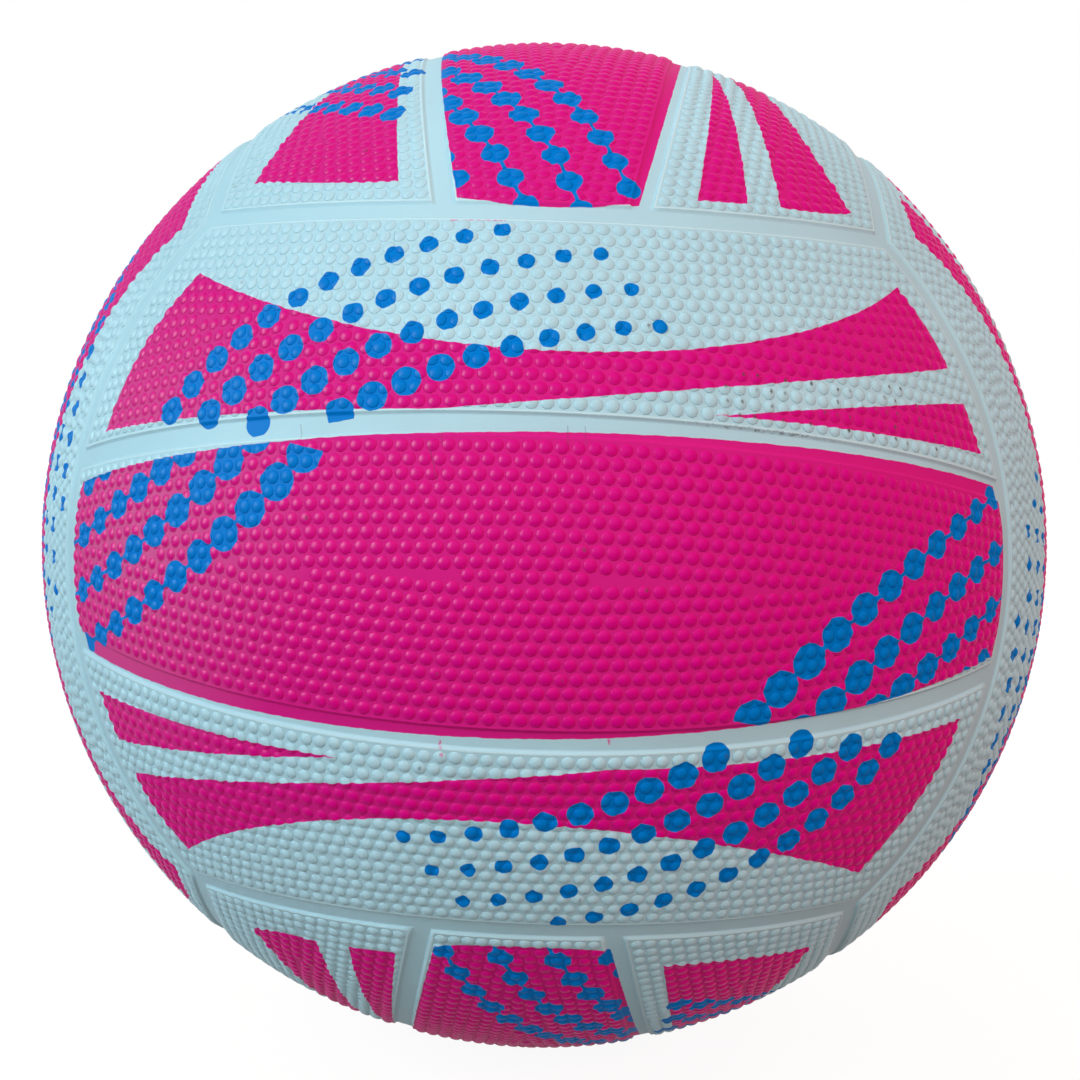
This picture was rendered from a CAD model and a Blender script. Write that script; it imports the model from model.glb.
"""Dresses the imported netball: pebbled panels, printed channels, carcass and valve.

Lengths in the classes are millimetres. The ball's centre is the origin, +Z is up and the front
group looks along -Y. Every group of three strips is worked out in the front group's frame and
then turned to its own face of the ball, so all six carry the same shapes and the same print.
"""

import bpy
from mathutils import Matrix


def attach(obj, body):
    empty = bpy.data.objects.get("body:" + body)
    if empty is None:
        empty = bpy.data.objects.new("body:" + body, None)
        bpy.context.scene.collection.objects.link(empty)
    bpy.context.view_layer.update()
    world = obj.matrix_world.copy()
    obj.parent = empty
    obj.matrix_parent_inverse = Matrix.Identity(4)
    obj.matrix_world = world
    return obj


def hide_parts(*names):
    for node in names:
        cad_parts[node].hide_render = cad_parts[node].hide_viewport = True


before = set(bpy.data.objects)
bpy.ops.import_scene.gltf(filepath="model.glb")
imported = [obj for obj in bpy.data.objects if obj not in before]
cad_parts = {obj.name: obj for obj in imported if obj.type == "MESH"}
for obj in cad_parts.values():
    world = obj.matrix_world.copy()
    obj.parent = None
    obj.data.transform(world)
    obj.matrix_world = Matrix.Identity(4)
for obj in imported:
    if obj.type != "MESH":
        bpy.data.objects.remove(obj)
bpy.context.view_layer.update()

import logging
import math
from dataclasses import dataclass, field
from enum import Enum

import bpy
import numpy as np
from mathutils import Matrix

log = logging.getLogger("netball")
MM = 0.001


class Place(Enum):
    """Where a strip lies in its group, before the group is turned."""

    UPPER = 1
    MIDDLE = 0
    LOWER = -1


def turn_matrix(cycle: int, half_turn: bool) -> np.ndarray:
    """Turn from the front group's frame to another group's.

    A cyclic change of axes, x to y to z to x once per step, after an optional half turn round z.

    Args:
        cycle: number of cyclic steps, 0 for front, 1 for bottom and 2 for left.
        half_turn: True for the opposite face.

    Returns:
        A 3 x 3 matrix that multiplies column vectors.
    """
    step = np.roll(np.eye(3), 1, axis=0)
    opposite = np.diag([-1.0, -1.0, 1.0]) if half_turn else np.eye(3)
    return np.linalg.matrix_power(step, cycle) @ opposite


class Group(Enum):
    """The six groups of strips, each with its cyclic steps and half turn."""

    FRONT = (0, False)
    BACK = (0, True)
    BOTTOM = (1, False)
    TOP = (1, True)
    LEFT = (2, False)
    RIGHT = (2, True)

    @property
    def turn(self) -> np.ndarray:
        """Matrix from the front group's frame to this group's."""
        return turn_matrix(*self.value)


@dataclass(frozen=True)
class BallSizes:
    """Lengths shared by all sub-assemblies, the same as in the part's source.

    Only the channels' floor differs. It lies less deep under the panels' faces here, as the
    photograph shows it, and the solids keep whole panels and a whole skin there.
    """

    ball_r: float = 111.5
    pimple_h: float = 0.4
    panel_t: float = 0.8
    channel_w: float = 3.3
    margin_w: float = 0.9
    cement_t: float = 0.05
    skin_t: float = 0.7
    floor_drop: float = 0.46
    plate_gap: float = 0.005
    seam_mid_z: float = 26.8
    seam_end_z: float = 17.2
    boot_d: float = 9.0
    collar_w: float = 2.0

    @property
    def land_r(self) -> float:
        """Radius of the smooth face of a panel."""
        return self.ball_r - self.pimple_h

    @property
    def panel_in_r(self) -> float:
        """Radius of a solid panel's inner face."""
        return self.land_r - self.panel_t

    @property
    def skin_out_r(self) -> float:
        """Radius of the channels' floor."""
        return self.land_r - self.floor_drop

    @property
    def plate_in_r(self) -> float:
        """Radius of a dressed panel's inner face."""
        return self.skin_out_r + self.plate_gap

    @property
    def skin_in_r(self) -> float:
        """Radius of the skin's inner face."""
        return self.panel_in_r - self.cement_t - self.skin_t

    @property
    def hole_r(self) -> float:
        """Radius of the hole for the valve's boot."""
        return self.boot_d / 2 + self.cement_t

    @property
    def seam_tilt(self) -> float:
        """Tilt of the seam planes, which pass through the seams' middle and end points.

        Returns:
            The angle to the horizontal, in radians.
        """
        mid_y = math.sqrt(self.ball_r ** 2 - self.seam_mid_z ** 2)
        end_y = self.ball_r / math.sqrt(3)
        return math.atan2(self.seam_mid_z - self.seam_end_z, mid_y - end_y)

    @property
    def seam_off(self) -> float:
        """How far from the ball's centre the seam planes pass.

        Returns:
            The distance: the middle point's place along the plane's normal.
        """
        mid_y = math.sqrt(self.ball_r ** 2 - self.seam_mid_z ** 2)
        tilt = self.seam_tilt
        return self.seam_mid_z * math.cos(tilt) - mid_y * math.sin(tilt)


SIZES = BallSizes()
GROUP_ANGLE = math.acos(1 / math.sqrt(3))
BLANK = 9.0


@dataclass(frozen=True)
class Circle:
    """A circle on the ball, where a plane cuts it. The strip lies behind the plane."""

    normal: tuple[float, float, float]
    offset: float

    def depth(self, points: np.ndarray, radius: float) -> np.ndarray:
        """Distance of points inside the circle, along the ball: the radius times the
        difference of the two angles to the plane's normal.

        Args:
            points: n x 3 points at that radius.
            radius: the radius of the ball's layer.

        Returns:
            n distances, positive inside.
        """
        height = np.clip(points @ np.array(self.normal) / radius, -1, 1)
        return radius * (np.arccos(height) - math.acos(self.offset / radius))

    def inside(self, distance: float, radius: float) -> "Circle":
        """The parallel circle that lies a distance further in."""
        angle = math.acos(self.offset / radius) + distance / radius
        return Circle(self.normal, radius * math.cos(angle))

    def arc(self, radius: float, end: "Circle", share: np.ndarray) -> np.ndarray:
        """Points along the circle between the strip's two ends.

        The centre, plus the circle's radius times the cosine of an angle towards the front and
        its sine along x. The angle at the ends is where the circle meets the end circle.

        Args:
            radius: the radius of the ball's layer.
            end: the circle that bounds the strip's ends.
            share: shares of the end angle, from -1 to 1.

        Returns:
            n x 3 points.
        """
        centre, round_r, ahead, limit = self.sweep(radius, end)
        angle = np.asarray(share) * limit
        return centre + round_r * (np.cos(angle)[:, None] * ahead
                                   + np.sin(angle)[:, None] * np.array([1.0, 0, 0]))

    def sweep(self, radius: float, end: "Circle") -> tuple[np.ndarray, float, np.ndarray, float]:
        """What the arc between the strip's ends is swept from.

        The centre is the normal times the offset. At the end angle the arc's way along the
        front axis reaches the end circle's offset.

        Args:
            radius: the radius of the ball's layer.
            end: the circle that bounds the strip's ends.

        Returns:
            The circle's centre and radius, its direction to the front and the end angle.
        """
        normal = np.array(self.normal)
        centre = normal * self.offset
        round_r = math.sqrt(radius ** 2 - self.offset ** 2)
        ahead = np.array([0.0, -abs(normal[2]), math.copysign(1, normal[2]) * normal[1]])
        cosine = (end.offset - centre[1]) / (round_r * ahead[1])
        return centre, round_r, ahead, math.acos(min(1, max(-1, cosine)))


@dataclass(frozen=True)
class Strip:
    """The outline of one strip in the front group's frame, at any radius and inset."""

    place: Place | None
    sizes: BallSizes = SIZES

    def circles(self, radius: float, inset: float) -> tuple[Circle, Circle, Circle]:
        """Lower long edge, upper long edge and ends of the strip.

        The seams are tilted planes. The edges towards other groups are cones round the axis
        of the group whose strips end there, which cut the ball in level planes. A strip with
        no place takes the whole group.

        Args:
            radius: the radius of the ball's layer.
            inset: how far the outline is drawn in, from the channels' centre lines.

        Returns:
            The lower, upper and end circles.
        """
        angle = inset / self.sizes.ball_r
        sin, cos = math.sin(self.sizes.seam_tilt), math.cos(self.sizes.seam_tilt)
        off = self.sizes.seam_off
        outer = radius * math.cos(GROUP_ANGLE + angle)
        end = Circle((0, 1, 0), -radius * math.cos(GROUP_ANGLE - angle))
        if self.place is None:
            return Circle((0, 0, -1), outer), Circle((0, 0, 1), outer), end
        if self.place is Place.MIDDLE:
            return (Circle((0, sin, -cos), off - inset), Circle((0, sin, cos), off - inset), end)
        if self.place is Place.UPPER:
            return Circle((0, -sin, -cos), -off - inset), Circle((0, 0, 1), outer), end
        return Circle((0, 0, -1), outer), Circle((0, -sin, cos), -off - inset), end

    def grid(self, radius: float, inset: float, across: np.ndarray,
             up: np.ndarray) -> np.ndarray:
        """Points of the strip's surface on a grid.

        Each column starts from the chord between the lower and the upper edge, and leaves it
        towards the ball's surface in a level direction that turns from -x through -y to +x
        along the strip, so that the first and last columns lie on the end circle.

        Args:
            radius: the radius of the ball's layer.
            inset: how far the outline is drawn in.
            across: shares along the strip, from -1 to 1.
            up: shares of the chord, from 0 to 1.

        Returns:
            rows x columns x 3 points.
        """
        lower, upper, end = self.circles(radius, inset)
        low, high = lower.arc(radius, end, across), upper.arc(radius, end, across)
        chord = low + up[:, None, None] * (high - low)
        swing = across * math.pi / 2
        out = np.stack([np.sin(swing), -np.cos(swing), np.zeros_like(swing)], axis=-1)
        along = (chord * out).sum(-1)
        reach = np.sqrt(along ** 2 - (chord ** 2).sum(-1) + radius ** 2) - along
        return chord + reach[..., None] * out


def face_place(points: np.ndarray) -> tuple[np.ndarray, np.ndarray]:
    """Place of points on their group's face, in millimetres along the ball.

    Across is the longitude and up is the latitude, each times the radius of the land.

    Args:
        points: n x 3 points in the front group's frame.

    Returns:
        The two coordinates, n values each.
    """
    unit = points / np.linalg.norm(points, axis=-1, keepdims=True)
    across = SIZES.land_r * np.arctan2(unit[..., 0], -unit[..., 1])
    return across, SIZES.land_r * np.arcsin(np.clip(unit[..., 2], -1, 1))


def face_points(across: np.ndarray, up: np.ndarray) -> np.ndarray:
    """Unit vectors of places on the front face, the inverse of face_place."""
    lon, lat = across / SIZES.land_r, up / SIZES.land_r
    return np.stack([np.sin(lon) * np.cos(lat), -np.cos(lon) * np.cos(lat), np.sin(lat)], axis=-1)


@dataclass(frozen=True)
class DotRow:
    """A bowed row of round dots: quadratics of the dot's number give its place."""

    across: tuple[float, float, float]
    up: tuple[float, float, float]
    first: int
    last: int
    radius: float
    shrink: float

    def dots(self) -> np.ndarray:
        """Place and size of each dot: its number, and the number's square, times the terms.

        Returns:
            n x 3: across, up and radius.
        """
        n = np.arange(self.first, self.last + 1)
        powers = np.stack([np.ones_like(n), n, n ** 2])
        return np.stack([np.array(self.across) @ powers, np.array(self.up) @ powers,
                         self.radius - self.shrink * n], axis=-1)


@dataclass(frozen=True)
class Bend:
    """A smooth line of the print: a polynomial of the distance from a start."""

    terms: tuple[float, ...]
    start: float = 0.0

    def at(self, where: np.ndarray) -> np.ndarray:
        """The sum of each term times its power of the distance."""
        return np.polynomial.polynomial.polyval(where - self.start, self.terms)


@dataclass(frozen=True)
class PrintLayout:
    """The printed bands, wedges and rows of dots, the same on every face.

    The print is the same after a half turn of the face. Each field is negative inside its
    shape, in millimetres, and is a smooth function, so that it can be stored at the points of
    a mesh. The largest of three fields bounds one shape.
    """

    rows: tuple[DotRow, ...] = (
        DotRow((-73.3, 4.04, 0.169), (28.1, 5.31, -0.181), 0, 11, 2.5, 0.088),
        DotRow((-63.1, 4.86, 0.116), (27.7, 4.73, -0.169), 0, 12, 2.56, 0.1),
        DotRow((-51.6, 5.17, 0.102), (26.6, 4.24, -0.166), 0, 11, 2.58, 0.113),
        DotRow((-34.8, 5.68, 0.079), (28.5, 3.39, -0.158), 0, 9, 2.6, 0.14),
    )
    chains: tuple[DotRow, ...] = (
        DotRow((-40.7, -4.76, -0.114), (21.5, -5.34, 0.147), 0, 10, 3.5, 0.12),
        DotRow((-56.5, -5.38, -0.105), (19.4, -4.9, 0.17), -1, 8, 3.3, 0.12),
        DotRow((-73.3, -5.88, -0.122), (17.4, -3.61, 0.062), -1, 5, 3.0, 0.12),
        DotRow((-92.3, -6.2, 0.0), (16.9, -3.2, 0.0), 0, 1, 2.5, 0.1),
    )
    middle_half: Bend = Bend((26.2, 0.0, -0.00097))
    middle_end: Bend = Bend((103.7, 0.0, -0.0085))
    band_over: Bend = Bend((41.36, -0.029, 0.00243, 4.9e-6))
    band_under: tuple[Bend, Bend] = (Bend((30.6, 0.0, -0.0007)), Bend((32.2, 0.11)))
    band_left: Bend = Bend((-94.6, 0.17, 0.009), 24.0)
    band_right: Bend = Bend((92.0, -0.18, -0.02), 41.0)
    wedge_over: Bend = Bend((30.8, 0.108, -0.0005), 33.3)
    wedge_under: Bend = Bend((31.5, 0.0, -0.0006))
    wedge_end: Bend = Bend((97.0, -0.28), 25.5)
    seam_plate: Bend = Bend((24.3, 0.19), -51.0)
    level_plate: float = 66.8
    notch_plate: Bend = Bend((23.4, -0.19), -44.8)

    def middle(self, across: np.ndarray, up: np.ndarray) -> np.ndarray:
        """Fields of the pink middle: above it, below it and beyond its ends.

        The long edges are parabolas and so are the ends.

        Args:
            across: how far along the face the points lie.
            up: how far up the face.

        Returns:
            Three fields for each point, n x 3.
        """
        half = self.middle_half.at(across)
        ends = np.abs(across) - self.middle_end.at(up)
        return np.stack([up - half, -up - half, ends], axis=-1)

    def band(self, across: np.ndarray, up: np.ndarray) -> np.ndarray:
        """Fields of the crescent band on an outer strip.

        A cubic above, the higher of a parabola and a straight line below, and a quadratic of
        the height at each end.

        Args:
            across: how far along the face the points lie.
            up: how far up the face.

        Returns:
            Three fields for each point, n x 3.
        """
        over = self.band_over.at(across)
        under = np.maximum(*(line.at(across) for line in self.band_under))
        ends = np.maximum(self.band_left.at(up) - across, across - self.band_right.at(up))
        return np.stack([up - over, under - up, ends], axis=-1)

    def wedge(self, across: np.ndarray, up: np.ndarray) -> np.ndarray:
        """Fields of the pointed wedge beside the band.

        A parabola above, one below, and a slanted end.

        Args:
            across: how far along the face the points lie.
            up: how far up the face.

        Returns:
            Three fields for each point, n x 3.
        """
        over, under = self.wedge_over.at(across), self.wedge_under.at(across)
        return np.stack([up - over, under - up, across - self.wedge_end.at(up)], axis=-1)

    def fields(self, points: np.ndarray, register: "Register") -> dict[str, np.ndarray]:
        """All fields at points of the front group's frame.

        Args:
            points: n x 3 points.
            register: how far the inks are off on this face.

        Returns:
            Fields by attribute name, n x 3, and n depths into the middle strip.
        """
        across, up = face_place(points)
        side = np.where(up < 0, -1.0, 1.0)
        lift = register.outer[1] + np.where(up < 0, register.lower_up, 0.0)
        outer = (across - register.outer[0]) * side, (up - lift) * side
        level = up - register.middle[1] - register.middle_turn * across
        along = across - register.middle[0] + register.middle_turn * up
        radius = np.linalg.norm(points, axis=-1)
        unit = points / radius[..., None]
        depth = np.minimum(*(circle.depth(unit * SIZES.land_r, SIZES.land_r)
                             for circle in Strip(Place.MIDDLE).circles(SIZES.land_r, 0)[:2]))
        plate = self.plates(across - register.dots[0], up - register.dots[1])
        return {"middle_print": self.middle(along, level), "band_print": self.band(*outer),
                "wedge_print": self.wedge(*outer), "seam_depth": depth, "plate_edges": plate,
                "face_place": np.stack([across, up, 0 * up], axis=-1)}

    def plates(self, across: np.ndarray, up: np.ndarray) -> np.ndarray:
        """Fields of where the blue ink's plates end, positive beyond them.

        The upper strip's plate ends on a slanted line beside the seam, and both outer
        strips' plates on a level line beside the next group. The middle strip's plate has
        a notch at its first chain.

        Args:
            across: how far along the face the points lie.
            up: how far up the face.

        Returns:
            Three fields for each point, n x 3.
        """
        seam = np.where(up > 0, self.seam_plate.at(across) - up, -BLANK)
        side = np.where(across > 0, -1.0, 1.0)
        run, rise = across * side, up * side
        notch = np.minimum(rise - self.notch_plate.at(run), run - self.notch_plate.start)
        return np.stack([seam, np.abs(up) - self.level_plate, notch], axis=-1)

    def dots(self, rows: tuple[DotRow, ...], register: "Register") -> np.ndarray:
        """Dots of these rows on both halves of the front face.

        Args:
            rows: the rows on the left half. The right half has them after a half turn.
            register: how far the ink is off on this face.

        Returns:
            Each dot's unit vector times its radius, n x 3.
        """
        dots = np.concatenate([row.dots() for row in rows])
        both = np.concatenate([dots, dots * [-1, -1, 1]]) + [*register.dots, 0]
        return face_points(both[:, 0], both[:, 1]) * both[:, 2:]


LAYOUT = PrintLayout()


@dataclass(frozen=True)
class Register:
    """How far each ink was printed off its place on a face, across and up, in millimetres."""

    middle: tuple[float, float]
    outer: tuple[float, float]
    dots: tuple[float, float]
    middle_turn: float = 0.0
    lower_up: float = 0.0


REGISTERS = {
    Group.FRONT: Register((0.8, -0.45), (0.2, -1.3), (0.5, -0.9), 0.027),
    Group.BACK: Register((-0.6, 0.8), (1.2, 1.6), (-0.5, 0.3)),
    Group.BOTTOM: Register((2.0, 1.0), (2.5, 3.0), (1.25, 3.5)),
    Group.TOP: Register((1.0, 1.0), (2.0, 2.0), (-0.8, -2.0), lower_up=-4.2),
    Group.LEFT: Register((1.0, -1.5), (0.5, -3.0), (1.5, 2.0)),
    Group.RIGHT: Register((1.0, 2.0), (0.3, 4.5), (1.0, 4.0)),
}


class Shell:
    """Collects the points and faces of one closed piece, in its group's frame."""

    def __init__(self) -> None:
        """Starts with no points."""
        self.points: list[np.ndarray] = []
        self.faces: list[tuple[np.ndarray, bool]] = []
        self.raised: list[np.ndarray] = []
        self.specks: list[np.ndarray] = []
        self.count = 0

    def add_points(self, points: np.ndarray, raised: np.ndarray | float = 0.0,
                   speck: np.ndarray | float = 0.0) -> np.ndarray:
        """Adds points, with what the finish needs to know of them.

        Args:
            points: an array whose last axis is x, y, z.
            raised: how far they stand up as a share of a pimple's height, and -1 on the lip
                of a panel's edge. One value, or one for each point.
            speck: the place on the face of the dirt beside them and its strength, none by
                default.

        Returns:
            Their numbers, in the array's own shape.
        """
        flat = points.reshape(-1, 3)
        numbers = self.count + np.arange(len(flat)).reshape(points.shape[:-1])
        self.points.append(flat)
        self.raised.append(np.broadcast_to(np.asarray(raised, float), points.shape[:-1]).ravel())
        self.specks.append(np.broadcast_to(np.asarray(speck, float), points.shape).reshape(-1, 3))
        self.count += len(flat)
        return numbers

    def add_faces(self, faces: np.ndarray, flat: bool = False) -> None:
        """Adds faces of one corner count, shaded flat or smooth."""
        self.faces.append((faces.reshape(-1, faces.shape[-1]), flat))

    def add_grid(self, numbers: np.ndarray, inward: bool = False,
                 keep: np.ndarray | None = None) -> None:
        """Fills a grid of points with quads, shaded flat on the inside.

        Args:
            numbers: rows x columns point numbers.
            inward: True for a face that looks at the ball's centre.
            keep: which cells to fill, all by default.
        """
        quads = np.stack([numbers[:-1, :-1], numbers[:-1, 1:], numbers[1:, 1:], numbers[1:, :-1]],
                         axis=-1)
        quads = quads.reshape(-1, 4) if keep is None else quads[keep]
        self.add_faces(quads[:, ::-1] if inward else quads, flat=inward)

    def add_bridge(self, loops: list[np.ndarray], flat: bool = False) -> None:
        """Joins loops of points with bands of quads, one after another.

        Args:
            loops: the point numbers of each loop, equally many in all.
            flat: True to shade the bands flat.
        """
        for outer, inner in zip(loops, loops[1:]):
            self.add_faces(np.stack([outer, np.roll(outer, -1), np.roll(inner, -1), inner],
                                    axis=-1), flat)

    def build(self, name: str, turn: np.ndarray) -> tuple[bpy.types.Object, np.ndarray, np.ndarray]:
        """Makes the mesh, turned to its face of the ball.

        Args:
            name: the piece's name.
            turn: matrix from the front group's frame.

        Returns:
            The object, its points and its faces' centres in the front group's frame.
        """
        points = np.concatenate(self.points)
        loops = np.concatenate([faces.ravel() for faces, _ in self.faces])
        corners = np.concatenate([np.full(len(f), f.shape[1]) for f, _ in self.faces])
        flat = np.concatenate([np.full(len(f), is_flat) for f, is_flat in self.faces])
        starts = np.cumsum(corners) - corners
        mesh = bpy.data.meshes.new(name)
        mesh.vertices.add(len(points))
        mesh.vertices.foreach_set("co", (points @ turn.T * MM).ravel())
        mesh.loops.add(len(loops))
        mesh.loops.foreach_set("vertex_index", loops.astype(np.int32))
        mesh.polygons.add(len(corners))
        mesh.polygons.foreach_set("loop_start", starts.astype(np.int32))
        mesh.polygons.foreach_set("use_smooth", ~flat)
        mesh.update(calc_edges=True)
        store(mesh, "raised", np.concatenate(self.raised), "POINT")
        store(mesh, "speck", np.concatenate(self.specks), "POINT")
        piece = bpy.data.objects.new(name, mesh)
        bpy.context.scene.collection.objects.link(piece)
        centres = np.add.reduceat(points[loops], starts, axis=0) / corners[:, None]
        return piece, points, centres


def store(mesh: bpy.types.Mesh, name: str, values: np.ndarray, domain: str) -> None:
    """Keeps values in a mesh attribute.

    Args:
        mesh: the mesh.
        name: the attribute's name.
        values: n floats or n x 3 vectors.
        domain: POINT, CORNER or FACE, which says what the n elements are.
    """
    kind, key = ("FLOAT", "value") if values.ndim == 1 else ("FLOAT_VECTOR", "vector")
    attribute = mesh.attributes.new(name, kind, domain)
    attribute.data.foreach_set(key, values.astype(np.float32).ravel())


def nearest_dots(centres: np.ndarray, dots: np.ndarray, count: int) -> np.ndarray:
    """The dots whose edges lie nearest to each face's centre.

    The distance is the chord between unit vectors, times the radius, less the dot's radius.

    Args:
        centres: n x 3 face centres.
        dots: unit vectors times radius, m x 3.
        count: how many dots to give for each face.

    Returns:
        n x count x 3 dots.
    """
    unit = centres / np.linalg.norm(centres, axis=1, keepdims=True)
    radius = np.linalg.norm(dots, axis=1)
    cosine = unit @ (dots / radius[:, None]).T
    away = SIZES.land_r * np.sqrt(np.maximum(0, 2 - 2 * cosine)) - radius
    order = np.argpartition(away, count, axis=1)[:, :count]
    ranked = np.take_along_axis(order, np.argsort(np.take_along_axis(away, order, 1), 1), 1)
    return dots[ranked]


def face_dots(centres: np.ndarray, group: Group) -> dict[str, np.ndarray]:
    """The two nearest dots of the chains and of the rows for each face of a mesh.

    Args:
        centres: n x 3 face centres in the front group's frame.
        group: the group they belong to.

    Returns:
        n x 3 dots by attribute name, turned to the group's face of the ball.
    """
    found = {}
    for kind, rows in (("chain", LAYOUT.chains), ("row", LAYOUT.rows)):
        two = nearest_dots(centres, LAYOUT.dots(rows, REGISTERS[group]), 2) @ group.turn.T
        found[kind + "_near"], found[kind + "_next"] = two[:, 0], two[:, 1]
    return found


def rim(numbers: np.ndarray) -> np.ndarray:
    """The border of a grid of numbers as one loop, anticlockwise from its lower left."""
    return np.concatenate([numbers[0, :-1], numbers[:-1, -1], numbers[-1, :0:-1],
                           numbers[:0:-1, 0]])


@dataclass(frozen=True)
class PimpleShape:
    """One pimple: a low dome whose foot is sunk a little into the panel."""

    pitch: float = 2.67
    row_gap: float = 2.46
    foot_r: float = 1.24
    sides: int = 9
    ring_shares: tuple[float, ...] = (1.0, 0.85, 0.6, 0.32)
    height_shares: tuple[float, ...] = (-0.06, 0.24, 0.67, 0.92)
    height: float = 0.375
    size_spread: float = 0.025
    height_spread: float = 0.04
    height_limits: tuple[float, float] = (0.9, 1.03)

    def template(self) -> tuple[np.ndarray, np.ndarray]:
        """The dome that all pimples share: rings of points on circles, and its top.

        Returns:
            n x 3 points, two shares of the foot's radius and a share of the height, with the
            top last, and the point numbers of each ring.
        """
        angle = np.arange(self.sides) * 2 * math.pi / self.sides
        rings = [np.stack([share * np.cos(angle), share * np.sin(angle),
                           np.full(self.sides, height)], axis=-1)
                 for share, height in zip(self.ring_shares, self.height_shares)]
        points = np.concatenate(rings + [np.array([[0, 0, 1.0]])])
        return points, np.arange(len(rings) * self.sides).reshape(-1, self.sides)


@dataclass(frozen=True)
class DirtPatch:
    """Where the pimples' tops carry specks of dirt, as places on the face in millimetres."""

    across: tuple[float, float] = (0.0, 0.0)
    up: tuple[float, float] = (0.0, 0.0)
    share: float = 0.62
    stray_share: float = 0.012
    beside: tuple[float, float] = (0.3, 0.22)
    beside_spread: float = 0.1
    weakest: float = 0.35
    stray_strength: float = 0.6

    def specks(self, centres: np.ndarray, rng: np.random.Generator) -> np.ndarray:
        """Place and strength of the speck on each pimple.

        Args:
            centres: n x 3 centres of the pimples.
            rng: source of the random draws.

        Returns:
            n x 3: across, up and strength, 0 for a clean pimple.
        """
        across, up = face_place(centres)
        inside = (across > self.across[0]) & (across < self.across[1])
        inside &= (up > self.up[0]) & (up < self.up[1])
        draw = rng.uniform(0, 1, len(centres))
        shade = rng.uniform(self.weakest, 1, len(centres))
        strength = np.where(draw < np.where(inside, self.share, self.stray_share), shade, 0)
        strength *= np.where(inside, 1, self.stray_strength)
        shift = rng.normal(0, self.beside_spread, (2, len(centres)))
        return np.stack([across + self.beside[0] + shift[0], up + self.beside[1] + shift[1],
                         strength], axis=-1)


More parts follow.
